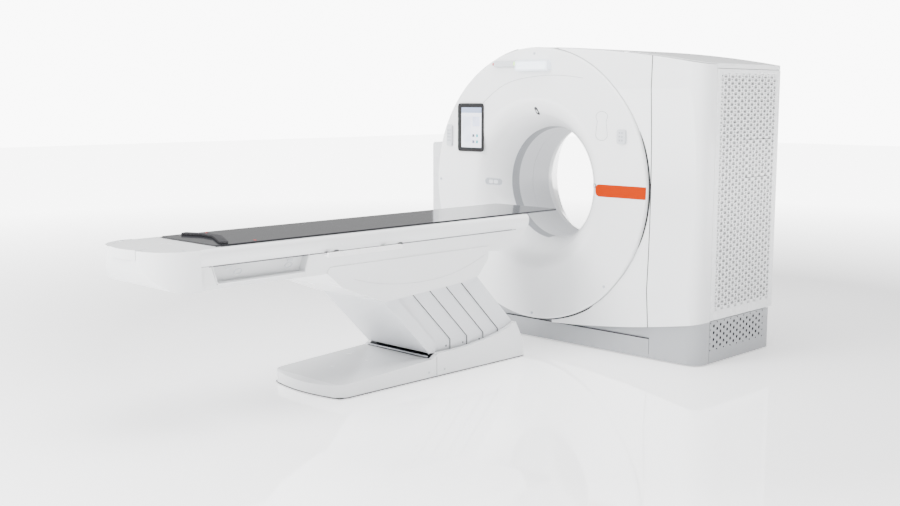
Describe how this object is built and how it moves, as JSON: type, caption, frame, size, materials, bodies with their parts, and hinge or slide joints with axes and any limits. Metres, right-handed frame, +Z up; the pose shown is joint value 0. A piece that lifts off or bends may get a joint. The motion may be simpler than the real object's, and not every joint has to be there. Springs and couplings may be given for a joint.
{
  "type": "ct scanner",
  "caption": "Medical scanner with a ring gantry round a flared patient tunnel, vented flank and silver plinth, and a lifting patient table whose board slides into the bore.",
  "frame": {"origin": "on the floor under the centre of the scan plane, on the bore's axis", "axes": "+Z up; +Y from the table's foot through the bore to the back; +X to the vented flank"},
  "size_m": [2.15, 3.7056, 1.823],
  "materials": {
    "shell_white": "gloss moulded cover",
    "tunnel_grey": "satin tunnel liner",
    "plinth_silver": "satin silver-grey paint",
    "frame_steel": "dark structural paint",
    "rotor_aluminium": "machined casting",
    "bearing_steel": "ground steel",
    "slip_brass": "contact tracks",
    "box_grey": "electronics case",
    "tube_steel": "tube housing",
    "weight_iron": "cast weights",
    "belt_rubber": "toothed belt",
    "fan_black": "moulded fan",
    "screen_black": "screen bezel",
    "handset_grey": "moulded handset",
    "lamp_glass": "bluish lamp",
    "button_red": "red button",
    "table_white": "gloss table cover",
    "table_grey": "light grey underside",
    "blade_grey": "light grey sheet",
    "arm_steel": "painted bar",
    "rail_steel": "stainless bar",
    "board_black": "dark laminate board"
  },
  "bodies": {
    "floor_body": {"gantry_base_frame": "frame_steel", "stator_frame": "frame_steel", "bearing_outer_race": "bearing_steel", "brush_block": "fan_black", "drive_motor": "box_grey", "drive_belt": "belt_rubber", "equipment_rack": "box_grey", "fan_tray": "box_grey", "front_cover": "shell_white", "tunnel_liner": "tunnel_grey", "rear_cover": "shell_white", "front_body_cover": "shell_white", "right_corner_cover": "shell_white", "top_cover": "shell_white", "left_side_cover": "shell_white", "rear_body_panel": "shell_white", "right_side_panel": "shell_white", "plinth_panels": "plinth_silver", "plinth_corner_panel": "plinth_silver", "plinth_side_grille": "plinth_silver", "tablet": "screen_black", "handsets": "handset_grey", "lamp_housing": "lamp_glass", "indicator_bar": "handset_grey", "table_base_frame": "frame_steel", "base_cover_front": "table_white", "base_cover_rear": "table_white"},
    "rotor": {"rotor_drum": "rotor_aluminium", "slip_ring": "slip_brass", "bearing_inner_race": "bearing_steel", "bearing_balls": "bearing_steel", "x_ray_tube": "tube_steel", "collimator": "weight_iron", "hv_generators": "box_grey", "tube_cooler": "rotor_aluminium", "detector_arc": "box_grey", "counterweights": "weight_iron"},
    "pulley": {"motor_pulley": "bearing_steel"},
    "fan_one": {"fan_wheel_1": "fan_black"},
    "fan_two": {"fan_wheel_2": "fan_black"},
    "door": {"side_access_door": "shell_white"},
    "stop": {"stop_button": "button_red"},
    "front_arm": {"front_lift_arm": "arm_steel"},
    "rear_arm": {"rear_lift_arm": "arm_steel"},
    "blade_one": {"side_blade_1": "blade_grey"},
    "blade_two": {"side_blade_2": "blade_grey"},
    "blade_three": {"side_blade_3": "blade_grey"},
    "blade_four": {"side_blade_4": "blade_grey"},
    "front_slant": {"front_slant_cover": "blade_grey"},
    "rear_slant": {"rear_slant_cover": "blade_grey"},
    "carrier": {"carrier_frame": "frame_steel", "carrier_skirt": "table_white", "table_lower_body": "table_grey", "side_pockets": "table_grey", "side_rails": "table_white", "accessory_rails": "rail_steel", "foot_cover": "table_white", "foot_deck": "table_white", "table_frame": "frame_steel"},
    "board": {"patient_board": "board_black"}
  },
  "joints": [
    {"name": "rotor_spin", "type": "hinge", "parent": "floor_body", "child": "rotor", "pos_m": [0, 0.045, 0.98], "axis": [0, 1, 0], "continuous": true},
    {"name": "pulley_spin", "type": "hinge", "parent": "floor_body", "child": "pulley", "pos_m": [0.69, 0.045, 0.42], "axis": [0, 1, 0], "continuous": true},
    {"name": "fan_one_spin", "type": "hinge", "parent": "floor_body", "child": "fan_one", "pos_m": [1.13, 0.03, 1.18], "axis": [1, 0, 0], "continuous": true},
    {"name": "fan_two_spin", "type": "hinge", "parent": "floor_body", "child": "fan_two", "pos_m": [1.13, 0.03, 1.44], "axis": [1, 0, 0], "continuous": true},
    {"name": "door_turn", "type": "hinge", "parent": "floor_body", "child": "door", "pos_m": [1.1905, 0.3015, 1.166], "axis": [0, 0, 1], "range_deg": [0, 110]},
    {"name": "stop_press", "type": "slide", "parent": "floor_body", "child": "stop", "axis": [1, 0, 0], "range_m": [0, 0.0025], "stiffness_N_per_m": 400, "springref_m": -0.001},
    {"name": "lift_turn", "type": "hinge", "parent": "floor_body", "child": "front_arm", "pos_m": [0, -1.458, 0.15], "axis": [-1, 0, 0], "range_deg": [-32.5, 0]},
    {"name": "rear_arm_turn", "type": "hinge", "parent": "floor_body", "child": "rear_arm", "pos_m": [0, -1.065, 0.15], "axis": [-1, 0, 0], "range_deg": [-32.5, 0]},
    {"name": "blade_one_turn", "type": "hinge", "parent": "floor_body", "child": "blade_one", "pos_m": [0, -1.458, 0.15], "axis": [-1, 0, 0], "range_deg": [-32.5, 0]},
    {"name": "blade_two_turn", "type": "hinge", "parent": "floor_body", "child": "blade_two", "pos_m": [0, -1.327, 0.15], "axis": [-1, 0, 0], "range_deg": [-32.5, 0]},
    {"name": "blade_three_turn", "type": "hinge", "parent": "floor_body", "child": "blade_three", "pos_m": [0, -1.196, 0.15], "axis": [-1, 0, 0], "range_deg": [-32.5, 0]},
    {"name": "blade_four_turn", "type": "hinge", "parent": "floor_body", "child": "blade_four", "pos_m": [0, -1.065, 0.15], "axis": [-1, 0, 0], "range_deg": [-32.5, 0]},
    {"name": "front_slant_turn", "type": "hinge", "parent": "floor_body", "child": "front_slant", "pos_m": [0, -1.578, 0.15], "axis": [-1, 0, 0], "range_deg": [-32.5, 0]},
    {"name": "rear_slant_turn", "type": "hinge", "parent": "floor_body", "child": "rear_slant", "pos_m": [0, -0.928, 0.15], "axis": [-1, 0, 0], "range_deg": [-32.5, 0]},
    {"name": "carrier_turn", "type": "hinge", "parent": "front_arm", "child": "carrier", "pos_m": [0, -1.883, 0.575], "axis": [-1, 0, 0], "range_deg": [0, 32.5]},
    {"name": "board_slide", "type": "slide", "parent": "carrier", "child": "board", "axis": [0, 1, 0], "range_m": [0, 1.6]}
  ],
  "couplings": [
    {"joint": "pulley_spin", "follows": "rotor_spin", "ratio": 12.07},
    {"joint": "rear_arm_turn", "follows": "lift_turn", "ratio": 1},
    {"joint": "blade_one_turn", "follows": "lift_turn", "ratio": 1},
    {"joint": "blade_two_turn", "follows": "lift_turn", "ratio": 1},
    {"joint": "blade_three_turn", "follows": "lift_turn", "ratio": 1},
    {"joint": "blade_four_turn", "follows": "lift_turn", "ratio": 1},
    {"joint": "front_slant_turn", "follows": "lift_turn", "ratio": 1},
    {"joint": "rear_slant_turn", "follows": "lift_turn", "ratio": 1},
    {"joint": "carrier_turn", "follows": "lift_turn", "ratio": -1}
  ]
}
